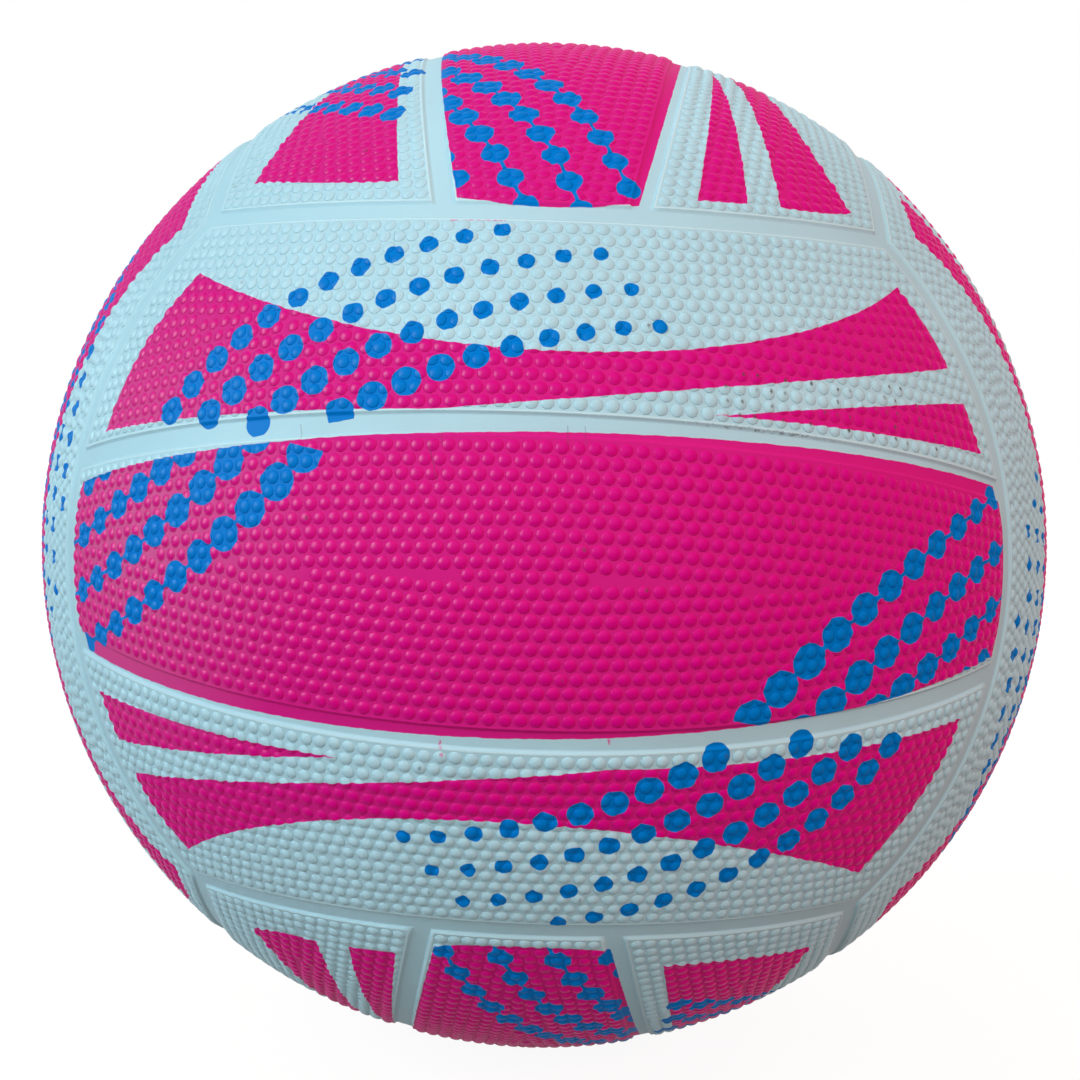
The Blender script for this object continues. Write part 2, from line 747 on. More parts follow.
@dataclass
class PimpleField:
    """Lays out the pimples of one strip in rows that follow its nearer long edge."""

    strip: Strip
    shape: PimpleShape
    valve: bool
    dirt: DirtPatch
    rng: np.random.Generator
    row_count: int = 14
    room_share: float = 0.8
    clear_share: float = 0.72
    loose_rows: float = 4.5
    loose_end_share: float = 0.4
    scatter: float = 0.05
    pushes: int = 40
    push_share: float = 0.22
    push_reach_share: float = 1.03

    def fill(self, points: np.ndarray, spare: np.ndarray) -> np.ndarray:
        """Adds spare centres one by one, the loneliest first, while there is room for one.

        Args:
            points: n x 3 centres.
            spare: centres that may be added.

        Returns:
            All centres.
        """
        room = np.linalg.norm(spare[:, None] - points[None], axis=-1).min(1)
        while room.max() > self.room_share * self.shape.pitch:
            new = spare[room.argmax()]
            points = np.concatenate([points, new[None]])
            room = np.minimum(room, np.linalg.norm(spare - new, axis=1))
        return points

    def rows_from(self, near: Circle, far: Circle, end: Circle,
                  beyond: float = 0.3) -> np.ndarray:
        """Staggered rows beside one long edge, as far as the strip's middle line.

        Row k lies on the parallel circle k row gaps further in, and its pimples stand at
        equal angles from end to end. Every other row has one more, so that the rows are
        staggered in the middle and square at the ends.

        Args:
            near: the long edge that the rows follow.
            far: the other long edge.
            end: the circle of the ends, drawn in to the last pimple's centre.
            beyond: how many row gaps past the middle line they run.

        Returns:
            n x 3 centres.
        """
        radius = SIZES.land_r
        found = []
        for k in range(self.row_count):
            row = near.inside(k * self.shape.row_gap, radius)
            centre, round_r, ahead, limit = row.sweep(radius, end)
            steps = int(limit * round_r / self.shape.pitch) * 2 + k % 2
            angle = np.linspace(-limit, limit, steps + 1)
            found.append(centre + round_r * (np.cos(angle)[:, None] * ahead
                                             + np.sin(angle)[:, None] * np.array([1.0, 0, 0])))
        points = np.concatenate(found)
        own, other = near.depth(points, radius), far.depth(points, radius)
        return points[own <= other + beyond * self.shape.row_gap]

    def centres(self) -> np.ndarray:
        """Centres of all the strip's pimples.

        Rows from the two long edges meet at the middle line. Where they come too close one
        is left out, and those near the line then push each other apart until they sit
        evenly, as they do on the moulded ball.

        Returns:
            n x 3 points on the land.
        """
        inset = SIZES.channel_w / 2 + SIZES.margin_w + self.shape.foot_r
        lower, upper, end = self.strip.circles(SIZES.land_r, inset)
        first = self.rows_from(lower, upper, end)
        second = self.rows_from(upper, lower, end)
        gap = np.linalg.norm(second[:, None] - first[None], axis=-1).min(1)
        points = np.concatenate([first, second[gap > self.clear_share * self.shape.pitch]])
        points = self.fill(points, np.concatenate([second, self.rows_from(
            lower, upper, end, 3.0)]))
        margin = np.abs(lower.depth(points, SIZES.land_r) - upper.depth(points, SIZES.land_r))
        loose = margin < self.loose_rows * self.shape.row_gap
        loose &= end.depth(points, SIZES.land_r) > self.loose_end_share * self.shape.pitch
        points = self.relax(points, loose)
        points = points + self.rng.normal(0, self.scatter, points.shape)
        if self.valve:
            away = np.hypot(points[:, 0], points[:, 2])
            points = points[away > SIZES.boot_d / 2 + SIZES.collar_w + self.shape.foot_r]
        return points

    def relax(self, points: np.ndarray, loose: np.ndarray) -> np.ndarray:
        """Pushes loose pimples apart: each moves off its neighbours by a share of how much
        nearer than the pitch they are, and back onto the ball.

        Args:
            points: n x 3 centres.
            loose: which of them may move.

        Returns:
            The moved centres.
        """
        points = points.copy()
        for _ in range(self.pushes):
            apart = points[loose][:, None] - points[None]
            away = np.linalg.norm(apart, axis=-1)
            away[away < 1e-9] = np.inf
            push = np.maximum(0, self.push_reach_share * self.shape.pitch - away) / away
            moved = points[loose] + self.push_share * (apart * push[..., None]).sum(1)
            points[loose] = moved * SIZES.land_r / np.linalg.norm(moved, axis=1, keepdims=True)
        return points

    def domes(self, shell: Shell) -> int:
        """Adds a dome at every centre, each turned and sized a little differently.

        A dome's point is the centre's direction plus its two lengths across, brought to the
        land's radius plus its height.

        Args:
            shell: the panel's shell.

        Returns:
            The number of pimples.
        """
        centres = self.centres()
        count = len(centres)
        unit = centres / np.linalg.norm(centres, axis=1, keepdims=True)
        side = np.cross([0, 0, 1.0], unit)
        side /= np.linalg.norm(side, axis=1, keepdims=True)
        rise = np.cross(unit, side)
        template, rings = self.shape.template()
        spin = self.rng.uniform(0, math.pi, count)[:, None]
        size = self.rng.normal(1, self.shape.size_spread, count)[:, None] * self.shape.foot_r
        height = np.clip(self.rng.normal(1, self.shape.height_spread, count),
                         *self.shape.height_limits)[:, None] * self.shape.height
        x = (template[:, 0] * np.cos(spin) - template[:, 1] * np.sin(spin)) * size
        y = (template[:, 0] * np.sin(spin) + template[:, 1] * np.cos(spin)) * size
        way = x[..., None] * side[:, None] + y[..., None] * rise[:, None]
        way = unit[:, None] * SIZES.land_r + way
        way /= np.linalg.norm(way, axis=-1, keepdims=True)
        points = way * (SIZES.land_r + template[:, 2] * height)[..., None]
        specks = self.dirt.specks(centres, self.rng)[:, None]
        numbers = shell.add_points(points, np.clip(template[:, 2], 0, 1), specks)
        loops = numbers[:, rings]
        following = np.roll(loops, -1, 2)
        shell.add_faces(np.stack([loops[:, :-1], following[:, :-1],
                                  following[:, 1:], loops[:, 1:]], axis=-1))
        top = np.broadcast_to(numbers[:, -1:], loops[:, -1].shape)
        shell.add_faces(np.stack([loops[:, -1], following[:, -1], top], axis=-1))
        shell.add_faces(loops[:, 0, ::-1], flat=True)
        return count


FRONT_DIRT = DirtPatch(across=(34.0, 84.0), up=(22.0, 37.0))


@dataclass(frozen=True)
class Mark:
    """A fine line on the front face, from one place to another, in millimetres."""

    start: tuple[float, float]
    stop: tuple[float, float]
    half_w: float

    def ends(self) -> tuple[np.ndarray, np.ndarray]:
        """Unit vectors of both ends."""
        first, last = face_points(*np.array([self.start, self.stop]).T)
        return first, last


CRACKS = (
    Mark((-15.3, 25.2), (-15.1, 22.9), 0.07), Mark((6.4, 27.0), (6.5, 23.5), 0.08),
    Mark((9.4, 27.0), (9.6, 23.8), 0.06), Mark((-42.0, 25.6), (-41.3, 23.2), 0.07),
    Mark((-17.4, 23.4), (-15.5, 17.0), 0.09), Mark((-31.0, 63.2), (-30.4, 61.0), 0.06),
)
MARK_EDGE = (-0.02, 0.06)
INK_TRACES = (
    Mark((-19.3, 65.8), (-7.5, 65.9), 0.12), Mark((-14.2, -27.7), (-13.8, -30.2), 0.26),
    Mark((15.5, -26.3), (15.7, -27.1), 0.2), Mark((32.8, 29.6), (36.0, 29.8), 0.07),
)


class Graph:
    """Short ways to add the nodes of a material or the world."""

    def __init__(self, owner: bpy.types.Material | bpy.types.World) -> None:
        """Starts with the nodes that Blender gives it."""
        owner.use_nodes = True
        self.tree = owner.node_tree

    def found(self, kind: str) -> bpy.types.Node:
        """The node of this kind that is there from the start."""
        return next(node for node in self.tree.nodes if node.type == kind)

    def node(self, kind: str, inputs: dict | None = None, **settings: object) -> bpy.types.Node:
        """Adds a node.

        Args:
            kind: the node's type.
            inputs: what goes into its sockets, by name or number.
            settings: its properties.

        Returns:
            The node.
        """
        node = self.tree.nodes.new(kind)
        for key, value in settings.items():
            setattr(node, key, value)
        for key, value in (inputs or {}).items():
            self.put(node.inputs[key], value)
        return node

    def put(self, socket: bpy.types.NodeSocket, value: object) -> None:
        """Links an output to a socket, or sets a constant on it.

        Args:
            socket: the input socket.
            value: another node's output, or the constant.
        """
        if isinstance(value, bpy.types.NodeSocket):
            self.tree.links.new(value, socket)
        else:
            socket.default_value = value

    def math(self, operation: str, *values: object, clamp: bool = False) -> bpy.types.NodeSocket:
        """A Math node.

        Args:
            operation: what it does.
            values: up to three outputs or constants.
            clamp: True to hold the result between 0 and 1.

        Returns:
            The result.
        """
        node = self.node("ShaderNodeMath", dict(enumerate(values)), operation=operation)
        node.use_clamp = clamp
        return node.outputs[0]

    def vector(self, operation: str, *values: object) -> bpy.types.NodeSocket:
        """A Vector Math node.

        Args:
            operation: what it does.
            values: one or two outputs or constants, the second a number for SCALE.

        Returns:
            A number for a length, a distance or a product, else a vector.
        """
        node = self.node("ShaderNodeVectorMath", operation=operation)
        second = "Scale" if operation == "SCALE" else 1
        for key, value in zip((0, second), values):
            self.put(node.inputs[key], value)
        number = operation in ("LENGTH", "DOT_PRODUCT", "DISTANCE")
        return node.outputs["Value" if number else "Vector"]

    def attribute(self, name: str, number: bool = False) -> bpy.types.NodeSocket:
        """A mesh attribute, as a vector or a number."""
        node = self.node("ShaderNodeAttribute", attribute_name=name)
        return node.outputs["Fac" if number else "Vector"]

    def noise(self, where: bpy.types.NodeSocket, scale: float, detail: float = 2.0,
              roughness: float = 0.5) -> bpy.types.NodeSocket:
        """Noise around 0.5.

        Args:
            where: the coordinates.
            scale: the number of features per metre.
            detail: the number of finer layers.
            roughness: how strong the finer layers are.

        Returns:
            The noise.
        """
        return self.node("ShaderNodeTexNoise", {"Vector": where, "Scale": scale, "Detail": detail,
                                                "Roughness": roughness}).outputs["Fac"]

    def ramp(self, value: object, low: float, high: float, start: float = 0.0,
             stop: float = 1.0) -> bpy.types.NodeSocket:
        """Maps one range to another in a straight line, held at its ends.

        Args:
            value: what is mapped.
            low: the value that gives start.
            high: the value that gives stop.
            start: the result at low.
            stop: the result at high.

        Returns:
            The result.
        """
        return self.node("ShaderNodeMapRange", {0: value, 1: low, 2: high, 3: start, 4: stop}
                         ).outputs[0]

    def marks(self, unit: bpy.types.NodeSocket, marks: tuple[Mark, ...]) -> bpy.types.NodeSocket:
        """How much of a point lies on one of the marks.

        The smallest distance from the lines between the marks' ends, less half their widths.

        Args:
            unit: the direction of the point from the ball's centre.
            marks: the fine lines.

        Returns:
            The share, 0 to 1.
        """
        nearest: object = 1.0
        for mark in marks:
            start, stop = mark.ends()
            link = stop - start
            offset = self.vector("SUBTRACT", unit, tuple(start))
            share = self.math("MULTIPLY", self.vector("DOT_PRODUCT", offset, tuple(link)),
                              1 / float(link @ link), clamp=True)
            aside = self.vector("SUBTRACT", offset, self.vector("SCALE", tuple(link), share))
            away = self.math("MULTIPLY_ADD", self.vector("LENGTH", aside), SIZES.land_r,
                             -mark.half_w)
            nearest = self.math("MINIMUM", nearest, away)
        return self.ramp(nearest, *MARK_EDGE, 1.0, 0.0)

    def mix(self, share: object, first: object, second: object) -> bpy.types.NodeSocket:
        """A colour between two.

        Args:
            share: how much of the second is in it.
            first: the colour at 0.
            second: the colour at 1.

        Returns:
            The colour.
        """
        node = self.node("ShaderNodeMix", data_type="RGBA")
        for socket, value in zip([node.inputs[0], node.inputs[6], node.inputs[7]],
                                 (share, first, second)):
            self.put(socket, value)
        return node.outputs[2]


class Finish(Graph):
    """The nodes of a new material with a Principled shader."""

    def __init__(self, name: str) -> None:
        """Starts the material.

        Args:
            name: the material's name.
        """
        self.material = bpy.data.materials.new(name)
        super().__init__(self.material)
        self.shader = self.found("BSDF_PRINCIPLED")

    def dress(self, colour: object, rough: object, bump: bpy.types.Node) -> None:
        """Gives the shader its look.

        Args:
            colour: the base colour.
            rough: the roughness.
            bump: the Bump node.
        """
        self.put(self.shader.inputs["Base Color"], colour)
        self.put(self.shader.inputs["Roughness"], rough)
        self.put(self.shader.inputs["Normal"], bump.outputs[0])


Colour = tuple[float, float, float, float]


@dataclass(frozen=True)
class DirtLook:
    """Specks on the pimples, a grimy stretch of one seam and fine cracks.

    Lengths are millimetres, but the grime's reach is a share of the ball's radius. Scales are
    features per metre. In a pair, the dirt is whole at the first value and gone at the second.
    """

    blot_narrow: float = 1.3
    blot_ragged: float = 0.7
    blot_scale: float = 2200.0
    blot_r: tuple[float, float] = (0.2, 0.55)
    grime_place: tuple[float, float] = (42.0, 27.3)
    grime_reach: tuple[float, float] = (0.03, 0.16)
    grime_beside: float = 1.95
    grime_half_w: tuple[float, float] = (0.15, 0.45)
    grime_scale: float = 1300.0
    grime_share: float = 0.75
    crack_share: float = 0.35

    def specks(self, graph: Graph, place: bpy.types.NodeSocket) -> bpy.types.NodeSocket:
        """How much of a speck a point has: its distance from the speck's middle, with noise
        added, mapped to a share and times the speck's strength.

        Args:
            graph: the material's nodes.
            place: the point in the object's coordinates.

        Returns:
            The share, 0 to 1.
        """
        speck = graph.node("ShaderNodeSeparateXYZ", {0: graph.attribute("speck")}).outputs
        here = graph.node("ShaderNodeSeparateXYZ", {0: graph.attribute("face_place")}).outputs
        run = graph.math("MULTIPLY", graph.math("SUBTRACT", here[0], speck[0]),
                         self.blot_narrow)
        rise = graph.math("SUBTRACT", here[1], speck[1])
        blot = graph.math("SQRT", graph.math("MULTIPLY_ADD", run, run,
                                             graph.math("MULTIPLY", rise, rise)))
        ragged = graph.math("SUBTRACT", graph.noise(place, self.blot_scale, 2.0), 0.5)
        blot = graph.math("MULTIPLY_ADD", ragged, self.blot_ragged, blot)
        return graph.math("MULTIPLY", graph.ramp(blot, *self.blot_r, 1.0, 0.0), speck[2])

    def grime(self, graph: Graph, place: bpy.types.NodeSocket,
              unit: bpy.types.NodeSocket) -> bpy.types.NodeSocket:
        """How grimy a point is: where noise is high, in a narrow band along the seam's upper
        edge, fading away from one place on the face.

        Args:
            graph: the material's nodes.
            place: the point in the object's coordinates.
            unit: its direction from the ball's centre.

        Returns:
            The share, 0 to 1.
        """
        middle = face_points(*np.array(self.grime_place))
        away = graph.vector("LENGTH", graph.vector("SUBTRACT", unit, tuple(middle)))
        near = graph.ramp(away, *self.grime_reach, 1.0, 0.0)
        edge = graph.math("ADD", graph.attribute("seam_depth", True), self.grime_beside)
        band = graph.ramp(graph.math("ABSOLUTE", edge), *self.grime_half_w, 1.0, 0.0)
        patchy = graph.ramp(graph.noise(place, self.grime_scale, 3.0, 0.7),
                            0.52, 0.66, 0.0, self.grime_share)
        return graph.math("MULTIPLY", graph.math("MULTIPLY", near, band), patchy)

    def share(self, graph: Graph, place: bpy.types.NodeSocket,
              unit: bpy.types.NodeSocket) -> bpy.types.NodeSocket:
        """How dirty a point is: the strongest of specks, grime and cracks.

        Args:
            graph: the material's nodes.
            place: the point in the object's coordinates.
            unit: its direction from the ball's centre.

        Returns:
            The share, 0 to 1.
        """
        cracks = graph.math("MULTIPLY", graph.marks(unit, CRACKS), self.crack_share)
        both = graph.math("MAXIMUM", self.specks(graph, place), self.grime(graph, place, unit))
        return graph.math("MAXIMUM", both, cracks)


@dataclass(frozen=True)
class PrintedRubber:
    """Pale rubber with pink and blue inks, read from the print's fields on the mesh.

    Lengths are millimetres, but the reach of the thin ink is a share of the ball's radius.
    """

    name: str
    pale: Colour = (0.55, 0.77, 0.86, 1)
    pink: Colour = (0.8, 0.0, 0.24, 1)
    blue: Colour = (0.0, 0.21, 0.66, 1)
    polished_lip: Colour = (0.78, 0.93, 0.97, 1)
    grime: Colour = (0.07, 0.06, 0.045, 1)
    rubber_rough: float = 0.48
    ink_rough: float = 0.46
    neck_half_w: float = 0.36
    neck_reach: float = 8.3
    neck_blend: float = 0.9
    no_neck: float = 99.0
    ragged_w: float = 0.36
    edge_half_w: float = 0.05
    dirt: DirtLook = DirtLook()
    gloss: float = 0.015
    dome_gloss: float = 0.075
    blue_gloss: float = 0.03
    spread: float = 0.3
    bloom: Colour = (0.85, 0.85, 0.92, 1)
    bloom_share: float = 0.018
    thin_share: float = 0.13
    thin_place: tuple[float, float] = (-84.0, 5.0)
    thin_reach: tuple[float, float] = (0.08, 0.42)
    polish: float = 0.09
    rough_wander: float = 0.1
    cloud_shade: float = 0.93
    lip_share: float = 0.6

    def dot_field(self, graph: Graph, unit: bpy.types.NodeSocket,
                  dot: bpy.types.NodeSocket) -> tuple[bpy.types.NodeSocket, ...]:
        """Distance from a dot's edge, and the dot's direction and offset.

        Args:
            graph: the material's nodes.
            unit: the direction of the point from the ball's centre.
            dot: the dot's unit vector times its radius.

        Returns:
            Distance in millimetres, the dot's unit vector, and the vector from it.
        """
        towards = graph.vector("NORMALIZE", dot)
        offset = graph.vector("SUBTRACT", unit, towards)
        away = graph.math("MULTIPLY", graph.vector("LENGTH", offset), SIZES.land_r)
        return graph.math("SUBTRACT", away, graph.vector("LENGTH", dot)), towards, offset

    def chain_field(self, graph: Graph, unit: bpy.types.NodeSocket) -> bpy.types.NodeSocket:
        """Distance from a chain's edge: two dots and the thin neck that joins them.

        The neck is the line between the two centres. Dots that lie further apart than the
        neck's reach have none.

        Args:
            graph: the material's nodes.
            unit: the direction of the point from the ball's centre.

        Returns:
            Distance in millimetres, negative inside.
        """
        near, near_to, offset = self.dot_field(graph, unit, graph.attribute("chain_near"))
        far, far_to, _ = self.dot_field(graph, unit, graph.attribute("chain_next"))
        link = graph.vector("SUBTRACT", far_to, near_to)
        share = graph.math("DIVIDE", graph.vector("DOT_PRODUCT", offset, link),
                           graph.vector("DOT_PRODUCT", link, link), clamp=True)
        aside = graph.vector("SUBTRACT", offset, graph.vector("SCALE", link, share))
        neck = graph.math("MULTIPLY_ADD", graph.vector("LENGTH", aside), SIZES.land_r,
                          -self.neck_half_w)
        too_far = graph.math("GREATER_THAN", graph.vector("LENGTH", link),
                             self.neck_reach / SIZES.land_r)
        neck = graph.math("MULTIPLY_ADD", too_far, self.no_neck, neck)
        return graph.math("SMOOTH_MIN", graph.math("MINIMUM", near, far), neck,
                          self.neck_blend)

    def thin_ink(self, graph: Graph, unit: bpy.types.NodeSocket) -> bpy.types.NodeSocket:
        """How pale the pink ink is between the pimples: most round one place of the front
        face, where it was printed thin, by the distance from that place.

        Args:
            graph: the material's nodes.
            unit: the direction of the point from the ball's centre.

        Returns:
            The share of the pale tone.
        """
        middle = face_points(*np.array(self.thin_place))
        away = graph.vector("LENGTH", graph.vector("SUBTRACT", unit, tuple(middle)))
        return graph.ramp(away, *self.thin_reach, self.thin_share, self.bloom_share)

    def largest(self, graph: Graph, name: str) -> bpy.types.NodeSocket:
        """The largest of an attribute's three fields.

        Args:
            graph: the material's nodes.
            name: the attribute's name.

        Returns:
            The field, negative inside the shape.
        """
        parts = graph.node("ShaderNodeSeparateXYZ", {0: graph.attribute(name)}).outputs
        return graph.math("MAXIMUM", graph.math("MAXIMUM", parts[0], parts[1]), parts[2])

    def inks(self, graph: Graph, place: bpy.types.NodeSocket,
             unit: bpy.types.NodeSocket) -> tuple[bpy.types.NodeSocket, bpy.types.NodeSocket]:
        """How much of the pink and of the blue ink lies on a point.

        Pink is inside the middle, the band or the wedge. Blue is inside a chain on the middle,
        or inside a dot of the rows, which spreads a little on pink ink, and neither passes the
        edges of its plate. Noise makes all the edges ragged.

        Args:
            graph: the material's nodes.
            place: the point in the object's coordinates.
            unit: its direction from the ball's centre.

        Returns:
            Both shares, 0 to 1.
        """
        ragged = graph.math("MULTIPLY_ADD", graph.noise(place, 500, 1.0), self.ragged_w,
                            -self.ragged_w / 2)
        middle = self.largest(graph, "middle_print")
        pink = graph.math("MINIMUM", middle, graph.math(
            "MINIMUM", self.largest(graph, "band_print"), self.largest(graph, "wedge_print")))
        pink = graph.math("ADD", pink, ragged)
        chain = graph.math("MAXIMUM", self.chain_field(graph, unit), middle)
        row = graph.math("MINIMUM", self.dot_field(graph, unit, graph.attribute("row_near"))[0],
                         self.dot_field(graph, unit, graph.attribute("row_next"))[0])
        row = graph.math("SUBTRACT", row, graph.ramp(pink, -0.4, 0.4, self.spread, 0.0))
        plate = graph.node("ShaderNodeSeparateXYZ", {0: graph.attribute("plate_edges")}).outputs
        row = graph.math("MAXIMUM", row, graph.math("MAXIMUM", plate[0], plate[1]))
        chain = graph.math("MAXIMUM", chain, plate[2])
        blue = graph.math("ADD", graph.math("MINIMUM", chain, row), ragged)
        pink_share = graph.ramp(pink, -self.edge_half_w, self.edge_half_w, 1.0, 0.0)
        blue_share = graph.ramp(blue, -self.edge_half_w, self.edge_half_w, 1.0, 0.0)
        patchy = graph.ramp(graph.noise(place, 1500, 2.0), 0.4, 0.6, 0.0, 0.75)
        traces = graph.math("MULTIPLY", graph.marks(unit, INK_TRACES), patchy)
        return graph.math("MAXIMUM", pink_share, traces), blue_share

    def bare_rubber(self, graph: Graph, place: bpy.types.NodeSocket,
                    raised: bpy.types.NodeSocket) -> bpy.types.NodeSocket:
        """The pale rubber's colour, clouded by noise and lighter on the polished lips.

        Args:
            graph: the material's nodes.
            place: the point in the object's coordinates.
            raised: how far it stands up, below 0 on a lip.

        Returns:
            The colour.
        """
        clouded = tuple(c * self.cloud_shade for c in self.pale[:3]) + (1,)
        cloud = graph.ramp(graph.noise(place, 28, 3.0), 0.35, 0.7)
        pale = graph.mix(cloud, self.pale, clouded)
        return graph.mix(graph.ramp(raised, -0.2, -0.8, 0.0, self.lip_share), pale,
                         self.polished_lip)

    def make(self) -> bpy.types.Material:
        """Builds the material.

        The inks lie on the bare rubber and the dirt on all. Between the pimples the pink ink
        is a little paler, and all is rougher and less glossy there.

        Returns:
            The material.
        """
        graph = Finish(self.name)
        place = graph.node("ShaderNodeTexCoord").outputs["Object"]
        unit = graph.vector("NORMALIZE", place)
        raised = graph.attribute("raised", number=True)
        pink, blue = self.inks(graph, place, unit)
        colour = graph.mix(pink, self.bare_rubber(graph, place, raised), self.pink)
        bloom = graph.math("MULTIPLY", graph.ramp(raised, 0.02, 0.4, 1.0, 0.0), pink)
        bloom = graph.math("MULTIPLY", bloom, self.thin_ink(graph, unit))
        colour = graph.mix(blue, graph.mix(bloom, colour, self.bloom), self.blue)
        colour = graph.mix(self.dirt.share(graph, place, unit), colour, self.grime)
        ink = graph.math("MAXIMUM", pink, blue)
        rough = graph.ramp(ink, 0.0, 1.0, self.rubber_rough, self.ink_rough)
        rough = graph.math("SUBTRACT", rough, graph.ramp(raised, 0.1, 0.4, 0.0, self.polish))
        wander = graph.math("MULTIPLY_ADD", graph.noise(place, 160, 3.0), self.rough_wander,
                            -self.rough_wander / 2)
        dome_gloss = graph.ramp(blue, 0.0, 1.0, self.dome_gloss, self.blue_gloss)
        gloss = graph.ramp(raised, 0.05, 0.35, self.gloss, dome_gloss)
        graph.put(graph.shader.inputs["Specular IOR Level"], gloss)
        bump = graph.node("ShaderNodeBump", {
            "Strength": graph.ramp(raised, 0.0, 0.3, 0.12, 0.02), "Distance": 0.0002,
            "Height": graph.noise(place, 2600, 3.0, 0.6)})
        graph.dress(colour, graph.math("ADD", rough, wander), bump)
        return graph.material


@dataclass(frozen=True)
class PlainRubber:
    """Moulded rubber of one colour, with clouded shade and fine grain."""

    name: str
    colour: Colour
    rough: float
    dusty_gain: float = 1.5
    dusty_lift: float = 0.012
    dusty_rough: float = 0.12
    grain_scale: float = 1800
    grain_depth: float = 0.0001

    def make(self) -> bpy.types.Material:
        """Builds the material: noise leads from the plain colour to a dusty one.

        Returns:
            The material.
        """
        graph = Finish(self.name)
        place = graph.node("ShaderNodeTexCoord").outputs["Object"]
        cloud = graph.ramp(graph.noise(place, 120, 4.0), 0.3, 0.75)
        dusty = tuple(min(1, c * self.dusty_gain + self.dusty_lift) for c in self.colour[:3])
        bump = graph.node("ShaderNodeBump", {
            "Strength": 0.3, "Distance": self.grain_depth,
            "Height": graph.noise(place, self.grain_scale, 3.0, 0.6)})
        graph.dress(graph.mix(cloud, self.colour, dusty + (1,)),
                    graph.ramp(cloud, 0, 1, self.rough, self.rough + self.dusty_rough), bump)
        return graph.material


@dataclass(frozen=True)
class WoundThread:
    """Nylon thread in crossing layers under a film of latex."""

    name: str
    thread: Colour = (0.74, 0.7, 0.58, 1)
    latex: Colour = (0.5, 0.42, 0.26, 1)
    turns: tuple[tuple[float, float, float], ...] = (
        (0.3, 0.8, 0.1), (1.1, -0.5, 0.7), (-0.6, 0.4, 1.3))
    wave_scale: float = 620.0

    def make(self) -> bpy.types.Material:
        """Builds the material: the highest of three sets of fine waves, each turned its way.

        Returns:
            The material.
        """
        graph = Finish(self.name)
        place = graph.node("ShaderNodeTexCoord").outputs["Object"]
        total = None
        for turn in self.turns:
            turned = graph.node("ShaderNodeMapping", {"Vector": place, "Rotation": turn})
            wave = graph.node("ShaderNodeTexWave", {
                "Vector": turned.outputs[0], "Scale": self.wave_scale, "Distortion": 1.2,
                "Detail": 1.0}).outputs["Fac"]
            total = wave if total is None else graph.math("MAXIMUM", total, wave)
        bump = graph.node("ShaderNodeBump", {"Strength": 0.6, "Distance": 0.0002,
                                             "Height": total})
        graph.dress(graph.mix(graph.ramp(total, 0.5, 0.95), self.latex, self.thread),
                    graph.ramp(total, 0.5, 1, 0.35, 0.6), bump)
        return graph.material


@dataclass(frozen=True)
class PanelEntry:
    """One panel: its CAD node, group and place."""

    node: str
    group: Group
    place: Place


def panel_entries() -> list[PanelEntry]:
    """The eighteen panels, named as in the part's source.

    Returns:
        The panels, three for each group in the order of Place.
    """
    names = {
        Group.FRONT: ("front_upper", "front_middle", "front_lower"),
        Group.BACK: ("back_upper", "back_middle", "back_lower"),
        Group.BOTTOM: ("bottom_right", "bottom_middle", "bottom_left"),
        Group.TOP: ("top_right", "top_middle", "top_left"),
        Group.LEFT: ("left_back", "left_middle", "left_front"),
        Group.RIGHT: ("right_back", "right_middle", "right_front"),
    }
    return [PanelEntry(name + "_panel", group, place)
            for group, three in names.items() for name, place in zip(three, Place)]


